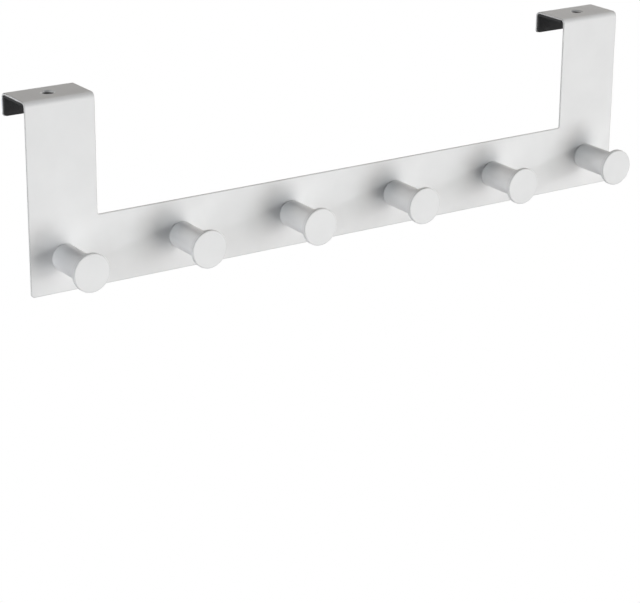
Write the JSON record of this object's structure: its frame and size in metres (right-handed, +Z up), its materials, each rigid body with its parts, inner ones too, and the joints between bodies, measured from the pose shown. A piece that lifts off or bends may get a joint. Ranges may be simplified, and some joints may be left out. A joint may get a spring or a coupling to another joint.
{
  "type": "over door hook",
  "caption": "White folded-steel rail that hangs over a door on foam-lined hooks, with a row of round-headed knobs for coats and bags.",
  "frame": {"origin": "on the rail's back face, at mid-length, at the height of the knobs' axes", "axes": "+X along the rail to the right seen from the front, +Y from the back face towards the door, +Z up"},
  "size_m": [0.39, 0.056, 0.1045],
  "materials": {
    "sheet_coat": "fine satin powder coat, white",
    "knob_coat": "fine satin powder coat, white",
    "screw_steel": "zinc-plated steel",
    "liner_foam": "closed-cell foam, black"
  },
  "bodies": {
    "root": {"hook_rail": "sheet_coat", "knob_1": "knob_coat", "knob_2": "knob_coat", "knob_3": "knob_coat", "knob_4": "knob_coat", "knob_5": "knob_coat", "knob_6": "knob_coat", "knob_screws": "screw_steel", "left_hook_liner": "liner_foam", "right_hook_liner": "liner_foam"}
  },
  "joints": []
}
